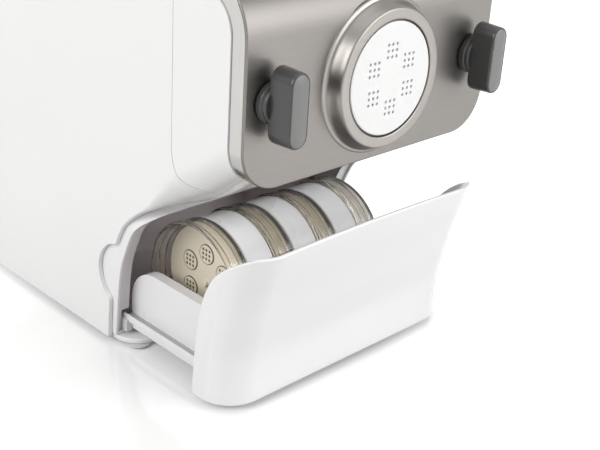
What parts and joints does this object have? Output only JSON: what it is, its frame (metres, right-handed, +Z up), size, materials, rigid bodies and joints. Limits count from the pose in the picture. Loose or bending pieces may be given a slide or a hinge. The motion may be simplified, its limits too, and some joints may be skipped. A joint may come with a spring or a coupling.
{
  "type": "electric pasta maker",
  "caption": "Electric pasta maker: white housing, bent metal front panel with a ring, shaping disc and side knobs, clear lid, and an open storage drawer of amber cases.",
  "frame": {"origin": "on the table, in the middle of the part's bounding box", "axes": "+Z up, front towards -Y, +X to the right seen from the front"},
  "size_m": [0.215, 0.343, 0.315],
  "materials": {
    "body_white": "smooth gloss",
    "panel_metal": "warm silver, fine brushed",
    "knob_dark": "soft gloss",
    "disc_white": "fine satin",
    "case_amber": "clear smoky amber, polished",
    "lid_clear": "clear, polished",
    "inner_grey": "satin moulded",
    "deep_grey": "moulded",
    "controls_black": "polished",
    "steel": "turned",
    "foot_rubber": "soft matt",
    "gear_nylon": "natural nylon",
    "motor_metal": "satin",
    "winding": "lacquered",
    "board_green": "satin"
  },
  "bodies": {
    "housing": {"main_housing": "body_white", "front_collar": "body_white", "front_panel": "panel_metal", "panel_backplate": "inner_grey", "base_plate": "inner_grey", "foot_front_left": "foot_rubber", "foot_front_right": "foot_rubber", "foot_rear_left": "foot_rubber", "foot_rear_right": "foot_rubber", "bay_liner": "inner_grey", "drawer_rail_left": "steel", "drawer_rail_right": "steel", "shaping_disc": "disc_white", "extruding_tube": "disc_white", "mixing_chamber": "disc_white", "shaft_seal": "deep_grey", "front_bearing": "steel", "rear_bearing": "steel", "chassis": "inner_grey", "gearbox_case": "deep_grey", "gearbox_cover": "deep_grey", "idler_pin": "steel", "motor_body": "motor_metal", "motor_cradle": "inner_grey", "circuit_board": "board_green", "vent_grille": "inner_grey", "power_inlet": "deep_grey", "control_panel": "controls_black", "display_window": "controls_black", "hinge_bracket": "inner_grey", "hinge_pin": "steel"},
    "drawer": {"drawer_front": "body_white", "drawer_tray": "body_white", "storage_case_1": "case_amber", "storage_case_2": "case_amber", "storage_case_3": "case_amber", "storage_case_4": "case_amber", "stored_disc_1": "disc_white", "stored_disc_2": "disc_white", "stored_disc_3": "disc_white", "stored_disc_4": "disc_white"},
    "left_knob": {"knob_left": "knob_dark", "knob_stud_left": "steel"},
    "right_knob": {"knob_right": "knob_dark", "knob_stud_right": "steel"},
    "lid": {"lid": "lid_clear"},
    "power_key": {"power_button": "inner_grey"},
    "program_key": {"program_button": "inner_grey"},
    "extrude_key": {"extrude_button": "inner_grey"},
    "start_key": {"start_button": "inner_grey"},
    "mixer": {"kneading_screw": "disc_white", "mixing_paddle": "disc_white", "drive_shaft": "steel", "output_gear": "gear_nylon"},
    "idler": {"idler_gear": "gear_nylon"},
    "rotor": {"motor_pinion": "steel", "motor_shaft": "steel", "armature": "winding", "cooling_fan": "deep_grey"}
  },
  "joints": [
    {"name": "drawer_slide", "type": "slide", "parent": "housing", "child": "drawer", "axis": [0, -1, 0], "range_m": [-0.087, 0]},
    {"name": "left_knob_turn", "type": "hinge", "parent": "housing", "child": "left_knob", "pos_m": [-0.088, -0.1485, 0.2037], "axis": [0, -1, 0], "range_deg": [0, 90]},
    {"name": "right_knob_turn", "type": "hinge", "parent": "housing", "child": "right_knob", "pos_m": [0.088, -0.1485, 0.2037], "axis": [0, 1, 0], "range_deg": [0, 90]},
    {"name": "lid_hinge", "type": "hinge", "parent": "housing", "child": "lid", "pos_m": [0, 0.069, 0.2945], "axis": [-1, 0, 0], "range_deg": [0, 95]},
    {"name": "power_key_press", "type": "slide", "parent": "housing", "child": "power_key", "axis": [0, 0.5736, -0.8192], "range_m": [0, 0.0012], "stiffness_N_per_m": 900},
    {"name": "program_key_press", "type": "slide", "parent": "housing", "child": "program_key", "axis": [0, 0.5736, -0.8192], "range_m": [0, 0.0012], "stiffness_N_per_m": 900},
    {"name": "extrude_key_press", "type": "slide", "parent": "housing", "child": "extrude_key", "axis": [0, 0.5736, -0.8192], "range_m": [0, 0.0012], "stiffness_N_per_m": 900},
    {"name": "start_key_press", "type": "slide", "parent": "housing", "child": "start_key", "axis": [0, 0.5736, -0.8192], "range_m": [0, 0.0012], "stiffness_N_per_m": 900},
    {"name": "mixer_spin", "type": "hinge", "parent": "housing", "child": "mixer", "pos_m": [0, 0.077, 0.2037], "axis": [0, 1, 0], "continuous": true},
    {"name": "idler_spin", "type": "hinge", "parent": "housing", "child": "idler", "pos_m": [0, 0.0805, 0.1477], "axis": [0, 1, 0], "continuous": true},
    {"name": "rotor_spin", "type": "hinge", "parent": "housing", "child": "rotor", "pos_m": [0, 0.1215, 0.10395], "axis": [0, 1, 0], "continuous": true}
  ],
  "couplings": [
    {"joint": "idler_spin", "follows": "mixer_spin", "ratio": -3},
    {"joint": "rotor_spin", "follows": "mixer_spin", "ratio": 12}
  ]
}
